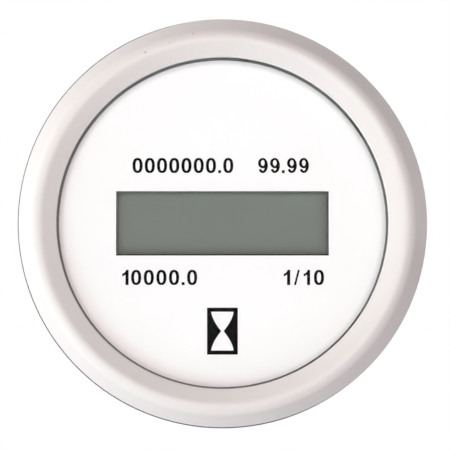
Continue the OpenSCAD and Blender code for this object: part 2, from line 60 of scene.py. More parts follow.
meter_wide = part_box("bezel")[1].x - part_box("bezel")[0].x
frame_wide = meter_wide * PHOTO_SIDE / METER_PX_WIDE
camera_data = bpy.data.cameras.new("camera")
camera = bpy.data.objects.new("camera", camera_data)
bpy.context.scene.collection.objects.link(camera)
camera_data.sensor_width = SENSOR_MM
camera_data.lens = SENSOR_MM * CAMERA_DISTANCE / frame_wide
camera_data.shift_x = (PHOTO_SIDE / 2 - METER_PX[0]) / PHOTO_SIDE
camera_data.shift_y = -(PHOTO_SIDE / 2 - METER_PX[1]) / PHOTO_SIDE
camera_data.clip_start = NEAR_CLIP
back = Vector((0, -math.cos(CAMERA_ELEVATION), math.sin(CAMERA_ELEVATION)))
camera.location = Vector((0, AIM_DEPTH, 0)) + back * CAMERA_DISTANCE
camera.rotation_mode = "QUATERNION"
camera.rotation_quaternion = (-back).to_track_quat("-Z", "Y")
bpy.context.scene.camera = camera
bpy.context.scene.view_settings.view_transform = "Standard"


def add(tree, kind, **values):
    """Adds a node, and sets its properties, or its sockets where the name is one of them."""
    node = tree.nodes.new(kind)
    for name, value in values.items():
        if hasattr(node, name):
            setattr(node, name, value)
        else:
            node.inputs[name.replace("_", " ")].default_value = value
    return node


# Each wash: where it comes from, how narrow it is, and its colour and strength
washes = (
    ((0.0, 1.0, 0.0), 1, (0.90, 0.815, 0.99)),
    ((0.0, -1.0, 0.0), 30, (15.0, 13.2, 13.0)),
    ((-0.914, 0.0, 0.406), 12, (4.05, 4.03, 3.88)),
)
studio = bpy.data.worlds.new("studio")
bpy.context.scene.world = studio
studio.use_nodes = True
tree = studio.node_tree
tree.nodes.clear()
direction = add(tree, "ShaderNodeTexCoord")
light = None
for towards, narrow, colour in washes:
    facing = add(tree, "ShaderNodeVectorMath", operation="DOT_PRODUCT")
    facing.inputs[1].default_value = towards
    ahead = add(tree, "ShaderNodeMath", operation="MAXIMUM")
    ahead.inputs[1].default_value = 0.0
    falloff = add(tree, "ShaderNodeMath", operation="POWER")
    falloff.inputs[1].default_value = narrow
    tinted = add(tree, "ShaderNodeVectorMath", operation="SCALE")
    tinted.inputs[0].default_value = colour
    tree.links.new(direction.outputs["Generated"], facing.inputs[0])
    tree.links.new(facing.outputs["Value"], ahead.inputs[0])
    tree.links.new(ahead.outputs[0], falloff.inputs[0])
    tree.links.new(falloff.outputs[0], tinted.inputs["Scale"])
    if light is None:
        light = tinted
        continue
    total = add(tree, "ShaderNodeVectorMath", operation="ADD")
    tree.links.new(light.outputs[0], total.inputs[0])
    tree.links.new(tinted.outputs[0], total.inputs[1])
    light = total
paths = add(tree, "ShaderNodeLightPath")
seen = paths.outputs["Is Camera Ray"]
for ray in ("Is Glossy Ray", "Is Transmission Ray"):
    either = add(tree, "ShaderNodeMath", operation="MAXIMUM")
    tree.links.new(seen, either.inputs[0])
    tree.links.new(paths.outputs[ray], either.inputs[1])
    seen = either.outputs[0]
room = add(tree, "ShaderNodeBackground")
tree.links.new(light.outputs[0], room.inputs["Color"])
backdrop = add(tree, "ShaderNodeBackground", Color=(1, 1, 1, 1), Strength=1.0)
mixed = add(tree, "ShaderNodeMixShader")
shown = add(tree, "ShaderNodeOutputWorld")
tree.links.new(seen, mixed.inputs[0])
tree.links.new(room.outputs[0], mixed.inputs[1])
tree.links.new(backdrop.outputs[0], mixed.inputs[2])
tree.links.new(mixed.outputs[0], shown.inputs[0])

# Each softbox: its place, its side, its power in watts and its colour
softboxes = {
    "left_softbox": ((-0.52, -0.10, -0.20), 0.20, 4.0, (0.318, 0.343, 0.342)),
    "front_softbox": ((-0.25, -0.60, -0.22), 0.30, 4.0, (0.16, 0.25, 0.25)),
}
for name, (place, side, power, colour) in softboxes.items():
    lamp_data = bpy.data.lights.new(name, "AREA")
    lamp_data.shape = "SQUARE"
    lamp_data.size = side
    lamp_data.energy = power * max(colour)
    lamp_data.color = [c / max(colour) for c in colour]
    lamp = bpy.data.objects.new(name, lamp_data)
    bpy.context.scene.collection.objects.link(lamp)
    lamp.location = place
    lamp.rotation_mode = "QUATERNION"
    lamp.rotation_quaternion = (-Vector(place)).to_track_quat("-Z", "Y")

FLOOR_LEVEL = -0.30
FLOOR_HALF = 4.0
FLOOR_PAPER_SHARE = 0.75
floor_mesh = bpy.data.meshes.new("floor")
floor_mesh.from_pydata(
    [(x * FLOOR_HALF, y * FLOOR_HALF, FLOOR_LEVEL) for x, y in ((-1, -1), (1, -1), (1, 1), (-1, 1))],
    [],
    [(0, 1, 2, 3)],
)
floor = bpy.data.objects.new("floor", floor_mesh)
bpy.context.scene.collection.objects.link(floor)
floor_white = bpy.data.materials.new("floor_white")
floor_white.use_nodes = True
tree = floor_white.node_tree
tree.nodes.clear()
lit = add(tree, "ShaderNodeBsdfDiffuse", Color=(0.90, 0.90, 0.90, 1))
paper = add(tree, "ShaderNodeEmission", Color=(1, 1, 1, 1), Strength=1.0)
share = add(tree, "ShaderNodeMath", operation="MULTIPLY")
share.inputs[1].default_value = FLOOR_PAPER_SHARE
paths = add(tree, "ShaderNodeLightPath")
tree.links.new(paths.outputs["Is Camera Ray"], share.inputs[0])
mixed = add(tree, "ShaderNodeMixShader")
out = add(tree, "ShaderNodeOutputMaterial")
tree.links.new(share.outputs[0], mixed.inputs[0])
tree.links.new(lit.outputs[0], mixed.inputs[1])
tree.links.new(paper.outputs[0], mixed.inputs[2])
tree.links.new(mixed.outputs[0], out.inputs[0])
floor_mesh.materials.append(floor_white)


# Case: one black moulding that carries every other piece.
# Its barrel and rear wall keep the fine spark grain of their mould, and a plus and a minus sign stand raised
# in the mould beside the blades.
SCRATCH_STRETCH = (1.0, 1.0, 0.05)
SCRATCH_TURN = (0.3, 0.5, 0.2)
DRIFT_SHARE = 0.94


def surface_marks():
    """Node group: soft clouds, fine grain and long scratches, each from 0 to 1."""
    group = bpy.data.node_groups.new("surface_marks", "ShaderNodeTree")
    for name, kind, value in (
        ("Vector", "NodeSocketVector", None),
        ("Cloud Scale", "NodeSocketFloat", 60.0),
        ("Grain Scale", "NodeSocketFloat", 2500.0),
        ("Scratch Scale", "NodeSocketFloat", 300.0),
    ):
        socket = group.interface.new_socket(name, in_out="INPUT", socket_type=kind)
        if value is not None:
            socket.default_value = value
    for name in ("Cloud", "Grain", "Scratch"):
        group.interface.new_socket(name, in_out="OUTPUT", socket_type="NodeSocketFloat")
    ins = group.nodes.new("NodeGroupInput")
    outs = group.nodes.new("NodeGroupOutput")
    cloud = add(group, "ShaderNodeTexNoise", Detail=3.0, Roughness=0.55)
    grain = add(group, "ShaderNodeTexNoise", Detail=4.0, Roughness=0.65)
    stretch = add(group, "ShaderNodeMapping")
    stretch.inputs["Scale"].default_value = SCRATCH_STRETCH
    stretch.inputs["Rotation"].default_value = SCRATCH_TURN
    scratch = add(group, "ShaderNodeTexNoise", Detail=5.0, Roughness=0.7)
    for start, end in (
        (ins.outputs["Vector"], cloud.inputs["Vector"]),
        (ins.outputs["Cloud Scale"], cloud.inputs["Scale"]),
        (ins.outputs["Vector"], grain.inputs["Vector"]),
        (ins.outputs["Grain Scale"], grain.inputs["Scale"]),
        (ins.outputs["Vector"], stretch.inputs["Vector"]),
        (stretch.outputs[0], scratch.inputs["Vector"]),
        (ins.outputs["Scratch Scale"], scratch.inputs["Scale"]),
        (cloud.outputs[0], outs.inputs["Cloud"]),
        (grain.outputs[0], outs.inputs["Grain"]),
        (scratch.outputs[0], outs.inputs["Scratch"]),
    ):
        group.links.new(start, end)
    return group


marks_group = surface_marks()


def finish_of(
    name,
    colour,
    colour_low=None,
    roughness=(0.4, 0.5),
    bump=0.1,
    bump_from="Grain",
    bump_distance=0.00002,
    metallic=0.0,
    marks=None,
    shader=None,
):
    """A Principled material whose colour drifts with the clouds, with roughness and bump from the marks."""
    look = bpy.data.materials.new(name)
    look.use_nodes = True
    tree = look.node_tree
    bsdf = tree.nodes["Principled BSDF"]
    place = add(tree, "ShaderNodeTexCoord", name="place")
    surface = add(tree, "ShaderNodeGroup", name="surface", node_tree=marks_group)
    for socket, value in (marks or {}).items():
        surface.inputs[socket].default_value = value
    tree.links.new(place.outputs["Object"], surface.inputs["Vector"])
    tint = add(tree, "ShaderNodeMix", data_type="RGBA")
    tint.inputs["A"].default_value = (*(colour_low or [c * DRIFT_SHARE for c in colour]), 1)
    tint.inputs["B"].default_value = (*colour, 1)
    tree.links.new(surface.outputs["Cloud"], tint.inputs["Factor"])
    tree.links.new(tint.outputs["Result"], bsdf.inputs["Base Color"])
    spread = add(tree, "ShaderNodeMapRange")
    spread.inputs["To Min"].default_value = roughness[0]
    spread.inputs["To Max"].default_value = roughness[1]
    tree.links.new(surface.outputs["Grain"], spread.inputs["Value"])
    tree.links.new(spread.outputs[0], bsdf.inputs["Roughness"])
    relief = add(tree, "ShaderNodeBump", Strength=bump, Distance=bump_distance)
    tree.links.new(surface.outputs[bump_from], relief.inputs["Height"])
    tree.links.new(relief.outputs[0], bsdf.inputs["Normal"])
    bsdf.inputs["Metallic"].default_value = metallic
    for socket, value in (shader or {}).items():
        bsdf.inputs[socket].default_value = value
    return look


def dress(node_name, look):
    """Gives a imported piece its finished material."""
    mesh = nodes[node_name].data
    mesh.materials.clear()
    mesh.materials.append(look)


case_black = finish_of(
    "case_black",
    colour=(0.030, 0.030, 0.032),
    colour_low=(0.024, 0.024, 0.026),
    roughness=(0.42, 0.62),
    bump=0.5,
    bump_distance=0.00003,
    marks={"Cloud Scale": 70.0, "Grain Scale": 2200.0},
)
dress("case", case_black)

REAR_WALL = 0.029
SIGN_LONG = 0.0024
SIGN_STROKE = 0.00055
SIGN_PROUD = 0.0003
SIGN_DRAFT = 0.00008
SIGN_LEVEL = -0.0087


def new_piece(name, mesh, look):
    """Links a mesh as a piece of the part with its own material."""
    piece = bpy.data.objects.new(name, mesh)
    bpy.context.scene.collection.objects.link(piece)
    mesh.materials.clear()
    mesh.materials.append(look)
    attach(piece, "root")
    return piece


def raised_bar(shape, middle, long, tall):
    """A bar with drafted sides that stands out of the rear wall."""
    rings = []
    for depth, draft in ((REAR_WALL, 0), (REAR_WALL + SIGN_PROUD, SIGN_DRAFT)):
        x = long / 2 - draft
        z = tall / 2 - draft
        corners = ((-x, -z), (x, -z), (x, z), (-x, z))
        rings.append([shape.verts.new((middle + side, depth, SIGN_LEVEL + up)) for side, up in corners])
    wall, top = rings
    shape.faces.new(wall)
    shape.faces.new(top[::-1])
    for i in range(4):
        j = (i + 1) % 4
        shape.faces.new((wall[j], wall[i], top[i], top[j]))


def raised_sign(name, blade, upright_bar):
    """A minus sign beside a blade, or a plus sign where it has an upright bar."""
    blade_low, blade_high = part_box(blade)
    middle = (blade_low.x + blade_high.x) / 2
    shape = bmesh.new()
    if upright_bar:
        arm = (SIGN_LONG - SIGN_STROKE) / 2
        step = (arm + SIGN_STROKE) / 2
        raised_bar(shape, middle, SIGN_STROKE, SIGN_LONG)
        raised_bar(shape, middle - step, arm, SIGN_STROKE)
        raised_bar(shape, middle + step, arm, SIGN_STROKE)
    else:
        raised_bar(shape, middle, SIGN_LONG, SIGN_STROKE)
    bmesh.ops.recalc_face_normals(shape, faces=shape.faces)
    mesh = bpy.data.meshes.new(name)
    shape.to_mesh(mesh)
    shape.free()
    new_piece(name, mesh, case_black)


raised_sign("plus_sign", "positive_terminal", True)
raised_sign("minus_sign", "negative_terminal", False)


# Bracket studs: two M4 steel bolts, zinc plated, whose hexagon heads lie in pockets inside the case.
# The thread is a real helical ridge on the core, run out at both ends.
zinc_bright = finish_of(
    "zinc_bright",
    colour=(0.70, 0.71, 0.73),
    colour_low=(0.60, 0.61, 0.62),
    roughness=(0.25, 0.42),
    bump=0.2,
    bump_from="Scratch",
    metallic=1.0,
)
STUD_PITCH = 0.0007
STUD_RIDGE = 0.00032
STUD_RIDGE_FOOT = 0.00064
STUD_RIDGE_SUNK = 0.00008
STUD_HEAD = 0.0024
STUD_CHAMFER = 0.0005
HEXAGON = 6
TURN_STEPS = 48
THREAD_STEPS = 32
SHARP_EDGE = math.radians(32)
WELD = 1e-7


def reckon(tree, operation, first, second=0.0):
    """What a Math node gives for one or two sockets or numbers."""
    node = add(tree, "ShaderNodeMath", operation=operation)
    for socket, value in zip(node.inputs, (first, second)):
        if isinstance(value, bpy.types.NodeSocket):
            tree.links.new(value, socket)
        else:
            socket.default_value = value
    return node.outputs[0]


def lathe(shape, outline, steps=TURN_STEPS):
    """Adds a closed turned solid about Y. The outline gives (radius, depth) points, anticlockwise."""
    rings = []
    for radius, depth in outline:
        if radius == 0:
            rings.append([shape.verts.new((0, depth, 0))] * steps)
            continue
        angles = [math.tau * i / steps for i in range(steps)]
        rings.append([shape.verts.new((radius * math.cos(a), depth, radius * math.sin(a))) for a in angles])
    for ring, following in zip(rings, rings[1:] + rings[:1]):
        if ring[0] is ring[1] and following[0] is following[1]:
            continue
        for i in range(steps):
            j = (i + 1) % steps
            corners = []
            for v in (ring[i], ring[j], following[j], following[i]):
                if v not in corners:
                    corners.append(v)
            shape.faces.new(corners)


def smooth_mesh(name, shape):
    """Turns a bmesh into a mesh with outward faces, shaded smooth but for its sharp edges."""
    bmesh.ops.remove_doubles(shape, verts=shape.verts, dist=WELD)
    bmesh.ops.recalc_face_normals(shape, faces=shape.faces)
    mesh = bpy.data.meshes.new(name)
    shape.to_mesh(mesh)
    shape.free()
    mesh.polygons.foreach_set("use_smooth", [True] * len(mesh.polygons))
    mesh.set_sharp_from_angle(angle=SHARP_EDGE)
    return mesh


def tree_with_inputs(name, inputs):
    """A Geometry Nodes tree that takes a mesh and the named inputs, and gives a mesh."""
    tree = bpy.data.node_groups.new(name, "GeometryNodeTree")
    tree.interface.new_socket("Geometry", in_out="OUTPUT", socket_type="NodeSocketGeometry")
    tree.interface.new_socket("Geometry", in_out="INPUT", socket_type="NodeSocketGeometry")
    for label, kind in inputs:
        tree.interface.new_socket(label, in_out="INPUT", socket_type="NodeSocket" + kind)
    return tree, tree.nodes.new("NodeGroupInput").outputs, tree.nodes.new("NodeGroupOutput").inputs


def set_in_pair(tree, geometry, spacing, material, result):
    """Ends a tree: sets the geometry at both studs, as real mesh, with its material."""
    link = tree.links.new
    start = add(tree, "ShaderNodeCombineXYZ")
    link(reckon(tree, "MULTIPLY", spacing, -0.5), start.inputs["X"])
    step = add(tree, "ShaderNodeCombineXYZ")
    link(spacing, step.inputs["X"])
    places = add(tree, "GeometryNodeMeshLine", Count=2)
    link(start.outputs[0], places.inputs["Start Location"])
    link(step.outputs[0], places.inputs["Offset"])
    both = add(tree, "GeometryNodeInstanceOnPoints")
    link(places.outputs[0], both.inputs["Points"])
    link(geometry, both.inputs["Instance"])
    real = add(tree, "GeometryNodeRealizeInstances")
    link(both.outputs[0], real.inputs[0])
    finished = add(tree, "GeometryNodeSetMaterial")
    link(real.outputs[0], finished.inputs["Geometry"])
    link(material, finished.inputs["Material"])
    link(finished.outputs[0], result)


def grown(name, mesh, tree, values):
    """Runs a tree on a mesh with the named values, and gives the plain mesh that comes out."""
    seed = bpy.data.objects.new(name + "_seed", mesh)
    bpy.context.scene.collection.objects.link(seed)
    modifier = seed.modifiers.new(name, "NODES")
    modifier.node_group = tree
    for item in tree.interface.items_tree:
        if item.item_type == "SOCKET" and item.in_out == "INPUT" and item.name in values:
            modifier[item.identifier] = values[item.name]
    bpy.context.view_layer.update()
    result = bpy.data.meshes.new_from_object(seed.evaluated_get(bpy.context.evaluated_depsgraph_get()))
    seed.modifiers.remove(modifier)
    bpy.data.objects.remove(seed)
    result.name = name
    return result


def threaded_pair():
    """Tree: a helical ridge round the core that comes in, then both studs."""
    tree, ins, outs = tree_with_inputs(
        "threaded_pair",
        (
            ("Root Radius", "Float"),
            ("Pitch", "Float"),
            ("Ridge Height", "Float"),
            ("Ridge Foot", "Float"),
            ("Ridge Sunk", "Float"),
            ("Thread Start", "Float"),
            ("Thread Length", "Float"),
            ("Spacing", "Float"),
            ("Material", "Material"),
        ),
    )
    link = tree.links.new
    turns = reckon(tree, "DIVIDE", ins["Thread Length"], ins["Pitch"])
    helix = add(tree, "GeometryNodeCurveSpiral", Resolution=THREAD_STEPS)
    link(turns, helix.inputs["Rotations"])
    link(ins["Root Radius"], helix.inputs["Start Radius"])
    link(ins["Root Radius"], helix.inputs["End Radius"])
    link(ins["Thread Length"], helix.inputs["Height"])
    level = add(tree, "GeometryNodeSetCurveNormal", mode="Z_UP")
    link(helix.outputs[0], level.inputs["Curve"])
    ridge = add(tree, "GeometryNodeCurvePrimitiveQuadrilateral", mode="KITE")
    link(ins["Ridge Foot"], ridge.inputs["Width"])
    link(ins["Ridge Height"], ridge.inputs["Top Height"])
    link(ins["Ridge Sunk"], ridge.inputs["Bottom Height"])
    along = add(tree, "GeometryNodeSplineParameter")
    from_end = reckon(tree, "SUBTRACT", 1.0, along.outputs["Factor"])
    nearest_end = reckon(tree, "MINIMUM", along.outputs["Factor"], from_end)
    run_out = reckon(tree, "MINIMUM", reckon(tree, "MULTIPLY", nearest_end, turns), 1.0)
    swept = add(tree, "GeometryNodeCurveToMesh", Fill_Caps=True)
    link(level.outputs[0], swept.inputs["Curve"])
    link(ridge.outputs[0], swept.inputs["Profile Curve"])
    link(run_out, swept.inputs["Scale"])
    laid = add(tree, "GeometryNodeTransform")
    laid.inputs["Rotation"].default_value = (-math.pi / 2, 0, 0)
    place = add(tree, "ShaderNodeCombineXYZ")
    link(ins["Thread Start"], place.inputs["Y"])
    link(swept.outputs[0], laid.inputs["Geometry"])
    link(place.outputs[0], laid.inputs["Translation"])
    joined = add(tree, "GeometryNodeJoinGeometry")
    link(laid.outputs[0], joined.inputs[0])
    link(ins["Geometry"], joined.inputs[0])
    set_in_pair(tree, joined.outputs[0], ins["Spacing"], ins["Material"], outs["Geometry"])
    return tree


studs_low, studs_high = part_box("bracket_studs")
head_radius = (studs_high.z - studs_low.z) / 2 / math.sin(math.tau / HEXAGON)
stud_spacing = studs_high.x - studs_low.x - 2 * head_radius
stud_radius = head_radius / 2
root_radius = stud_radius - STUD_RIDGE
head_end = studs_low.y + STUD_HEAD
shape = bmesh.new()
lathe(
    shape,
    [(0, studs_low.y), (head_radius, studs_low.y), (head_radius, head_end), (0, head_end)],
    steps=HEXAGON,
)
lathe(
    shape,
    [
        (0, head_end - STUD_HEAD / 2),
        (root_radius, head_end - STUD_HEAD / 2),
        (root_radius, studs_high.y - STUD_CHAMFER / 2),
        (root_radius - STUD_CHAMFER / 2, studs_high.y),
        (0, studs_high.y),
    ],
)
studs = grown(
    "threaded_studs",
    smooth_mesh("stud_core", shape),
    threaded_pair(),
    {
        "Root Radius": root_radius,
        "Pitch": STUD_PITCH,
        "Ridge Height": STUD_RIDGE,
        "Ridge Foot": STUD_RIDGE_FOOT,
        "Ridge Sunk": STUD_RIDGE_SUNK,
        "Thread Start": head_end,
        "Thread Length": studs_high.y - head_end - STUD_PITCH / 2,
        "Spacing": stud_spacing,
        "Material": zinc_bright,
    },
)
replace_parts(new_piece("threaded_studs", studs, zinc_bright), "bracket_studs")


# Terminals: two blades stamped from brass strip, pushed through slots in the rear wall from inside.
# The press leaves fine scratches on them.
blade_brass = finish_of(
    "blade_brass",
    colour=(0.78, 0.60, 0.28),
    colour_low=(0.70, 0.52, 0.24),
    roughness=(0.22, 0.38),
    bump=0.15,
    bump_from="Scratch",
    metallic=1.0,
)
dress("positive_terminal", blade_brass)
dress("negative_terminal", blade_brass)


# Circuit board: glass laminate under green mask, held on the case's posts by three screws.
# Moulded chips with tinned legs and plated cans are soldered to its back, and its copper tracks show
# through the mask.
board_green = finish_of(
    "board_green",
    colour=(0.02, 0.16, 0.07),
    colour_low=(0.015, 0.13, 0.055),
    roughness=(0.3, 0.4),
    bump=0.2,
)
TRACK_GREEN = (0.05, 0.30, 0.12)
TRACK_RUN_MM = 3.1
TRACK_STEP_MM = 0.9
TRACK_WIDE_MM = 0.11
MM_IN_METRE = 1000.0


def place_of(look):
    """The X, Y and Z of a material's Object coordinates."""
    tree = look.node_tree
    split = add(tree, "ShaderNodeSeparateXYZ")
    tree.links.new(tree.nodes["place"].outputs["Object"], split.inputs[0])
    return split.outputs


def face_of(look):
    """The X and Z of a material as one vector, for a pattern on a face that looks along Y."""
    tree = look.node_tree
    place = place_of(look)
    face = add(tree, "ShaderNodeCombineXYZ")
    tree.links.new(place["X"], face.inputs["X"])
    tree.links.new(place["Z"], face.inputs["Y"])
    return face.outputs[0]


def stain(look, mask, colour):
    """Tints a finished material where the mask is 1."""
    tree = look.node_tree
    base = tree.nodes["Principled BSDF"].inputs["Base Color"]
    mix = add(tree, "ShaderNodeMix", data_type="RGBA")
    mix.inputs["B"].default_value = (*colour, 1)
    tree.links.new(base.links[0].from_socket, mix.inputs["A"])
    tree.links.new(mask, mix.inputs["Factor"])
    tree.links.new(mix.outputs["Result"], base)


tree = board_green.node_tree
tracks = add(
    tree,
    "ShaderNodeTexBrick",
    Scale=MM_IN_METRE,
    Mortar_Size=TRACK_WIDE_MM,
    Brick_Width=TRACK_RUN_MM,
    Row_Height=TRACK_STEP_MM,
)
tree.links.new(face_of(board_green), tracks.inputs["Vector"])
stain(board_green, tracks.outputs["Fac"], TRACK_GREEN)
dress("circuit_board", board_green)

TIN = (0.72, 0.72, 0.74)
BODY_EDGE = 0.00002
# Each moulded chip: how wide and how tall its body is, without its legs
chip_bodies = {
    "microcontroller": (0.0070, 0.0070),
    "memory_chip": (0.0049, 0.0039),
    "voltage_regulator": (0.0065, 0.0035),
    "diode": (0.0043, 0.0026),
}


def chip(node_name, wide, tall):
    """A moulded chip of black epoxy. Its legs are what stands out of the body, and they are tinned."""
    look = finish_of(node_name + "_look", colour=(0.025, 0.025, 0.027), roughness=(0.5, 0.65), bump=0.3)
    low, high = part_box(node_name)
    middle = (low + high) / 2
    place = place_of(look)
    tree = look.node_tree
    beyond = []
    for axis, centre, size in (("X", middle.x, wide), ("Z", middle.z, tall)):
        away = reckon(tree, "ABSOLUTE", reckon(tree, "SUBTRACT", place[axis], centre))
        beyond.append(reckon(tree, "GREATER_THAN", away, size / 2 + BODY_EDGE))
    legs = reckon(tree, "MAXIMUM", *beyond)
    stain(look, legs, TIN)
    tree.links.new(legs, tree.nodes["Principled BSDF"].inputs["Metallic"])
    dress(node_name, look)


for node_name, (wide, tall) in chip_bodies.items():
    chip(node_name, wide, tall)
dress("chip_resistors", finish_of("resistor_black", colour=(0.03, 0.03, 0.032), roughness=(0.4, 0.5)))
can_bright = finish_of("can_bright", colour=(0.78, 0.78, 0.80), roughness=(0.2, 0.3), metallic=1.0)
dress("crystal", can_bright)
dress("capacitor", can_bright)
ceramic_tan = finish_of("ceramic_tan", colour=(0.50, 0.36, 0.22), roughness=(0.45, 0.55))
dress("chip_capacitors", ceramic_tan)
dress("board_screws", zinc_bright)


# Contact strips: two lengths of silicone rubber, squeezed between board and glass.
# Fine conducting bands across the rubber join each pad on the board to one on the glass.
strip_pink = finish_of("strip_pink", colour=(0.70, 0.33, 0.33), roughness=(0.6, 0.7))
BAND_PITCH = 0.00036
BAND_BLACK = (0.03, 0.03, 0.03)
tree = strip_pink.node_tree
turn = reckon(tree, "MULTIPLY", place_of(strip_pink)["X"], math.tau / BAND_PITCH)
bands = reckon(tree, "GREATER_THAN", reckon(tree, "SINE", turn))
stain(strip_pink, bands, BAND_BLACK)
dress("upper_contact_strip", strip_pink)
dress("lower_contact_strip", strip_pink)


# Display: a liquid crystal cell of two glasses between two films.
# Switched off, its front film shows plain grey-green, with painted shade towards the window's right and
# bottom edges.
film_green = finish_of(
    "film_green",
    colour=(0.202, 0.223, 0.200),
    colour_low=(0.194, 0.214, 0.192),
    roughness=(0.75, 0.85),
    bump=0.05,
    marks={"Cloud Scale": 90.0},
    shader={"Specular IOR Level": 0.3},
)
# Painted shade: the film's colour darkens towards the window's right and bottom edges.
FILM_PAINTED_SHADE = (0.158, 0.175, 0.156)
FILM_PAINTED_SHADE_WIDE = 0.0021
window_low, window_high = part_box("window_outline")


def ramp(tree, value, start, end):
    """A smooth rise from 0 at the start to 1 at the end, which may be the lower of the two."""
    rise = add(tree, "ShaderNodeMapRange", interpolation_type="SMOOTHSTEP")
    rise.inputs["From Min"].default_value = min(start, end)
    rise.inputs["From Max"].default_value = max(start, end)
    rise.inputs["To Min"].default_value = 0.0 if start < end else 1.0
    rise.inputs["To Max"].default_value = 1.0 if start < end else 0.0
    tree.links.new(value, rise.inputs["Value"])
    return rise.outputs[0]


tree = film_green.node_tree
place = place_of(film_green)
film_painted_shade = reckon(
    tree,
    "MAXIMUM",
    ramp(tree, place["X"], window_high.x - FILM_PAINTED_SHADE_WIDE, window_high.x),
    ramp(tree, place["Z"], window_low.z + FILM_PAINTED_SHADE_WIDE, window_low.z),
)
stain(film_green, film_painted_shade, FILM_PAINTED_SHADE)
dress("display_front_film", film_green)
dress("display_rear_film", film_green)
cell_glass = finish_of(
    "cell_glass",
    colour=(0.85, 0.93, 0.90),
    colour_low=(0.83, 0.91, 0.88),
    roughness=(0.01, 0.03),
    bump=0.02,
    bump_from="Cloud",
    shader={"Transmission Weight": 1.0, "IOR": 1.52},
)
dress("display_front_glass", cell_glass)
dress("display_rear_glass", cell_glass)


# Display holder: a black moulded frame that presses the glass on its contact strips.
# Its four pegs go through the board and are staked behind it.
holder_black = finish_of("holder_black", colour=(0.03, 0.03, 0.03), roughness=(0.45, 0.6), bump=0.3)
dress("display_holder", holder_black)


# Dial: a plate printed in flat white, keyed to the case rim.
# Its window line, hourglass and plain numbers are screened on in black, a twentieth of a millimetre thick.
# Just inside the seal, a faint grey painted shadow rings the white.
dial_white = finish_of(
    "dial_white",
    colour=(0.98, 0.98, 0.98),
    colour_low=(0.975, 0.975, 0.975),
    roughness=(0.5, 0.6),
    bump=0.05,
)
# Painted shadow: the white greys towards the seal over its last millimetre.
SEAL_SHADOW_START = 0.0231
SEAL_SHADOW_END = 0.0240
SEAL_SHADOW_GREY = (0.82, 0.82, 0.82)
tree = dial_white.node_tree
from_middle = add(tree, "ShaderNodeVectorMath", operation="LENGTH")
tree.links.new(face_of(dial_white), from_middle.inputs[0])
stain(dial_white, ramp(tree, from_middle.outputs["Value"], SEAL_SHADOW_START, SEAL_SHADOW_END), SEAL_SHADOW_GREY)
dress("dial", dial_white)
ink_black = finish_of(
    "ink_black",
    colour=(0.006, 0.006, 0.006),
    colour_low=(0.004, 0.004, 0.004),
    roughness=(0.88, 0.98),
    bump=0.05,
    shader={"Specular IOR Level": 0.0},
)
dress("window_outline", ink_black)
dress("hourglass_mark", ink_black)

NUMBER_TALL = 0.00223
DIGIT_STEPS = 28
DIGIT_EDGE = 2.4


def bow(middle, half, start=0, end=360, steps=DIGIT_STEPS, power=2.0):
    """Points of an oval's edge from one angle to another. A power over 2 squares the oval's corners."""
    points = []
    whole = (end - start) % 360 == 0
    for i in range(steps + (0 if whole else 1)):
        a = math.radians(start + (end - start) * i / steps)
        c, s = math.cos(a), math.sin(a)
        points.append(
            (
                middle[0] + half[0] * math.copysign(abs(c) ** (2 / power), c),
                middle[1] + half[1] * math.copysign(abs(s) ** (2 / power), s),
            )
        )
    return points


# Each figure: its width and its outlines, as shares of its height
figure_shares = {
    "0": (0.66, [
        bow((0.33, 0.5), (0.33, 0.5), power=DIGIT_EDGE),
        bow((0.33, 0.5), (0.135, 0.345), power=DIGIT_EDGE),
    ]),
    "1": (0.42, [[
        (0.22, 0), (0.42, 0), (0.42, 1), (0.26, 1), (0.21, 0.87), (0.12, 0.79), (0, 0.74), (0, 0.57),
        (0.12, 0.62), (0.22, 0.69),
    ]]),
    "9": (0.66, [
        bow((0.33, 0.5), (0.33, 0.5), -145, 90)
        + bow((0.33, 0.66), (0.31, 0.34), 90, 295)[1:]
        + bow((0.33, 0.5), (0.14, 0.35), -25, -145),
        bow((0.33, 0.665), (0.125, 0.20)),
    ]),
    "/": (0.38, [[(0, 0), (0.13, 0), (0.38, 1), (0.25, 1)]]),
    ".": (0.19, [[(0, 0), (0.19, 0), (0.19, 0.19), (0, 0.19)]]),
}


def printed(name, text, left, right, base):
    """Plain figures on the dial, spaced evenly from left to right, as thick as the rest of the ink."""
    ink_low, ink_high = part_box("window_outline")
    widths = [figure_shares[figure][0] * NUMBER_TALL for figure in text]
    gap = (right - left - sum(widths)) / (len(text) - 1)
    curve = bpy.data.curves.new(name, "CURVE")
    curve.dimensions = "2D"
    curve.fill_mode = "BOTH"
    curve.extrude = (ink_high.y - ink_low.y) / 2
    start = left
    for figure, width in zip(text, widths):
        for outline in figure_shares[figure][1]:
            spline = curve.splines.new("POLY")
            spline.points.add(len(outline) - 1)
            for point, (x, y) in zip(spline.points, outline):
                point.co = (start + x * NUMBER_TALL, base + y * NUMBER_TALL, 0, 1)
            spline.use_cyclic_u = True
        start += width + gap
    drawn = bpy.data.objects.new(name + "_drawn", curve)
    bpy.context.scene.collection.objects.link(drawn)
    bpy.context.view_layer.update()
    mesh = bpy.data.meshes.new_from_object(drawn.evaluated_get(bpy.context.evaluated_depsgraph_get()))
    bpy.data.objects.remove(drawn)
    middle = (ink_low.y + ink_high.y) / 2
    for v in mesh.vertices:
        v.co = Vector((v.co.x, middle - v.co.z, v.co.y))
    shape = bmesh.new()
    shape.from_mesh(mesh)
    bmesh.ops.remove_doubles(shape, verts=shape.verts, dist=WELD)
    bmesh.ops.recalc_face_normals(shape, faces=shape.faces)
    shape.to_mesh(mesh)
    shape.free()
    mesh.name = name
    new_piece(name, mesh, ink_black)


UPPER_LINE = 0.00740
LOWER_LINE = -0.00905
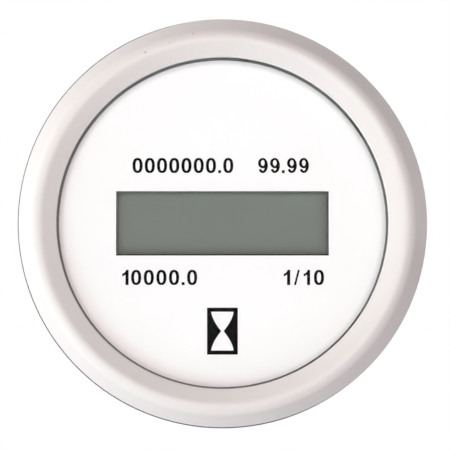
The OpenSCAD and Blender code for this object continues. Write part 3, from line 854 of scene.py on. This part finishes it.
# Each group of figures: what it says, its left and right ends, and the line that it stands on
figure_groups = {
    "first_reading": ("0000000.0", -0.0132, 0.0016, UPPER_LINE),
    "last_digits": ("99.99", 0.0052, 0.0127, UPPER_LINE),
    "highest_place": ("10000.0", -0.0147, -0.0037, LOWER_LINE),
    "lowest_place": ("1/10", 0.0090, 0.0149, LOWER_LINE),
}
for name, (text, left, right, base) in figure_groups.items():
    printed(name, text, left, right, base)


# Lens seal: a thin grey rubber ring, pressed between dial and lens by the bezel.
# Its inner edge shows as a dark line inside the bezel's lip.
seal_grey = finish_of("seal_grey", colour=(0.215, 0.217, 0.215), roughness=(0.7, 0.85), bump=0.2)
dress("lens_seal", seal_grey)


# Lens: a flat disc of clear acrylic that lies under the bezel's lip.
# It is polished and so clear that only its gloss shows.
LENS_GLOSS_IOR = 1.12
lens_clear = finish_of(
    "lens_clear",
    colour=(0.98, 0.99, 1.0),
    colour_low=(0.96, 0.97, 0.98),
    roughness=(0.0, 0.003),
    bump=0.03,
    bump_from="Scratch",
    metallic=1.0,
)
tree = lens_clear.node_tree
gloss = add(tree, "ShaderNodeFresnel", IOR=LENS_GLOSS_IOR)
tree.links.new(gloss.outputs[0], tree.nodes["Principled BSDF"].inputs["Alpha"])
dress("lens", lens_clear)


# Bezel: one ring, injection moulded in glossy white plastic, sprung over the bead on the case rim.
# A painted violet shade darkens its widest edge on the left and lower side, and three dust specks sit on its
# upper left.
bezel_white = finish_of(
    "bezel_white",
    colour=(0.735, 0.695, 0.683),
    colour_low=(0.72, 0.68, 0.668),
    roughness=(0.20, 0.30),
    bump=0.25,
    bump_from="Cloud",
    bump_distance=0.0002,
    marks={"Cloud Scale": 120.0},
    shader={"Specular IOR Level": 0.4, "Coat Weight": 0.1, "Coat Roughness": 0.08},
)
# Painted shade: a thin violet band along the widest edge, on the left and lower side only.
RIM_SHADE_START = -0.00414
RIM_SHADE_FULL = -0.00398
RIM_SHADE_END = -0.00340
RIM_SHADE_TOWARDS = (-0.93, -0.37, 0)
RIM_SHADE_REACH = (-0.35, 0.15)
RIM_SHADE_VIOLET = (0.030, 0.025, 0.062)
SPECKS = ((-0.0043, 0.0275, 0.00013), (-0.0112, 0.0247, 0.00016), (-0.0077, 0.0262, 0.00009))
SPECK_GREY = (0.50, 0.46, 0.44)
tree = bezel_white.node_tree
place = place_of(bezel_white)
face = face_of(bezel_white)
outward = add(tree, "ShaderNodeVectorMath", operation="NORMALIZE")
tree.links.new(face, outward.inputs[0])
round_face = add(tree, "ShaderNodeVectorMath", operation="DOT_PRODUCT")
round_face.inputs[1].default_value = RIM_SHADE_TOWARDS
tree.links.new(outward.outputs[0], round_face.inputs[0])
rim_shade = reckon(
    tree,
    "MULTIPLY",
    ramp(tree, place["Y"], RIM_SHADE_START, RIM_SHADE_FULL),
    ramp(tree, round_face.outputs["Value"], *RIM_SHADE_REACH),
)
rim_shade = reckon(tree, "MULTIPLY", rim_shade, reckon(tree, "LESS_THAN", place["Y"], RIM_SHADE_END))
stain(bezel_white, rim_shade, RIM_SHADE_VIOLET)
speck_mask = 0.0
for x, z, radius in SPECKS:
    away = add(tree, "ShaderNodeVectorMath", operation="DISTANCE")
    away.inputs[1].default_value = (x, z, 0)
    tree.links.new(face, away.inputs[0])
    speck = reckon(tree, "LESS_THAN", away.outputs["Value"], radius)
    speck_mask = reckon(tree, "MAXIMUM", speck, speck_mask)
stain(bezel_white, speck_mask, SPECK_GREY)
dress("bezel", bezel_white)


# Panel gasket: a flat ring cut from soft black rubber, slipped over the barrel under the bezel.
# It seals the meter to the front of the panel.
gasket_black = finish_of(
    "gasket_black",
    colour=(0.035, 0.035, 0.035),
    roughness=(0.75, 0.9),
    bump=0.35,
    marks={"Cloud Scale": 150.0, "Grain Scale": 1800.0},
)
dress("panel_gasket", gasket_black)


# Clamp bracket: one strip of zinc plated steel, slotted and folded to a U, that presses on the panel's back.
# Spring washers under the nuts are of the same steel.
bracket_zinc = finish_of(
    "bracket_zinc",
    colour=(0.60, 0.59, 0.59),
    colour_low=(0.50, 0.49, 0.49),
    roughness=(0.46, 0.62),
    bump=0.3,
    bump_from="Scratch",
    metallic=1.0,
    marks={"Cloud Scale": 220.0, "Scratch Scale": 500.0},
)
dress("clamp_bracket", bracket_zinc)
dress("lock_washers", zinc_bright)


# Thumb nuts: turned from brass bar, with a plain collar against the washer.
# The grip is a straight knurl: a ring of sharp ridges round a smaller body, chamfered at both ends.
nut_brass = finish_of(
    "nut_brass",
    colour=(0.80, 0.62, 0.30),
    colour_low=(0.72, 0.54, 0.25),
    roughness=(0.22, 0.36),
    bump=0.15,
    bump_from="Scratch",
    metallic=1.0,
)
TURNING_PITCH = 0.00022
TURNING_DEEP = 0.000006
tree = nut_brass.node_tree
place = place_of(nut_brass)
across = reckon(tree, "SUBTRACT", reckon(tree, "ABSOLUTE", place["X"]), stud_spacing / 2)
nut_face = add(tree, "ShaderNodeCombineXYZ")
tree.links.new(across, nut_face.inputs["X"])
tree.links.new(place["Z"], nut_face.inputs["Y"])
from_axis = add(tree, "ShaderNodeVectorMath", operation="LENGTH")
tree.links.new(nut_face.outputs[0], from_axis.inputs[0])
turn = reckon(tree, "MULTIPLY", from_axis.outputs["Value"], math.tau / TURNING_PITCH)
turned = add(tree, "ShaderNodeBump", Strength=0.5, Distance=TURNING_DEEP)
normal = tree.nodes["Principled BSDF"].inputs["Normal"]
tree.links.new(reckon(tree, "SINE", turn), turned.inputs["Height"])
tree.links.new(normal.links[0].from_socket, turned.inputs["Normal"])
tree.links.new(turned.outputs[0], normal)
KNURL_RIDGES = 40
KNURL_DEEP = 0.00028
KNURL_SIZE = 0.00046
NUT_COLLAR_LONG = 0.0014
NUT_COLLAR_IN = 0.001
NUT_CHAMFER = 0.0004
NUT_BORE_PLAY = 0.00005


def knurled_pair():
    """Tree: ridges round the body that comes in, then both nuts."""
    tree, ins, outs = tree_with_inputs(
        "knurled_pair",
        (
            ("Ridges", "Int"),
            ("Ridge Circle", "Float"),
            ("Ridge Size", "Float"),
            ("Ridge Length", "Float"),
            ("Ridge Middle", "Float"),
            ("Spacing", "Float"),
            ("Material", "Material"),
        ),
    )
    link = tree.links.new
    circle = add(tree, "GeometryNodeMeshCircle")
    link(ins["Ridges"], circle.inputs["Vertices"])
    link(ins["Ridge Circle"], circle.inputs["Radius"])
    ridge = add(tree, "GeometryNodeMeshCylinder", Vertices=3)
    link(ins["Ridge Size"], ridge.inputs["Radius"])
    link(ins["Ridge Length"], ridge.inputs["Depth"])
    outward = add(tree, "FunctionNodeAlignRotationToVector", axis="X", pivot_axis="Z")
    link(add(tree, "GeometryNodeInputPosition").outputs[0], outward.inputs["Vector"])
    set_round = add(tree, "GeometryNodeInstanceOnPoints")
    link(circle.outputs[0], set_round.inputs["Points"])
    link(ridge.outputs["Mesh"], set_round.inputs["Instance"])
    link(outward.outputs[0], set_round.inputs["Rotation"])
    laid = add(tree, "GeometryNodeTransform")
    laid.inputs["Rotation"].default_value = (-math.pi / 2, 0, 0)
    place = add(tree, "ShaderNodeCombineXYZ")
    link(ins["Ridge Middle"], place.inputs["Y"])
    link(set_round.outputs[0], laid.inputs["Geometry"])
    link(place.outputs[0], laid.inputs["Translation"])
    joined = add(tree, "GeometryNodeJoinGeometry")
    link(laid.outputs[0], joined.inputs[0])
    link(ins["Geometry"], joined.inputs[0])
    set_in_pair(tree, joined.outputs[0], ins["Spacing"], ins["Material"], outs["Geometry"])
    return tree


nuts_low, nuts_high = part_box("bracket_nuts")
nut_radius = (nuts_high.z - nuts_low.z) / 2
body_radius = nut_radius - KNURL_DEEP
collar_end = nuts_low.y + NUT_COLLAR_LONG
bore_radius = stud_radius + NUT_BORE_PLAY
shape = bmesh.new()
lathe(
    shape,
    [
        (bore_radius, nuts_low.y),
        (nut_radius - NUT_COLLAR_IN, nuts_low.y),
        (nut_radius - NUT_COLLAR_IN, collar_end),
        (nut_radius - NUT_CHAMFER, collar_end),
        (body_radius, collar_end + NUT_CHAMFER - KNURL_DEEP),
        (body_radius, nuts_high.y - NUT_CHAMFER + KNURL_DEEP),
        (nut_radius - NUT_CHAMFER, nuts_high.y),
        (bore_radius, nuts_high.y),
    ],
)
nuts = grown(
    "knurled_nuts",
    smooth_mesh("nut_body", shape),
    knurled_pair(),
    {
        "Ridges": KNURL_RIDGES,
        "Ridge Circle": nut_radius - KNURL_SIZE,
        "Ridge Size": KNURL_SIZE,
        "Ridge Length": nuts_high.y - collar_end - 2 * NUT_CHAMFER,
        "Ridge Middle": (nuts_high.y + collar_end) / 2,
        "Spacing": stud_spacing,
        "Material": nut_brass,
    },
)
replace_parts(new_piece("knurled_nuts", nuts, nut_brass), "bracket_nuts")
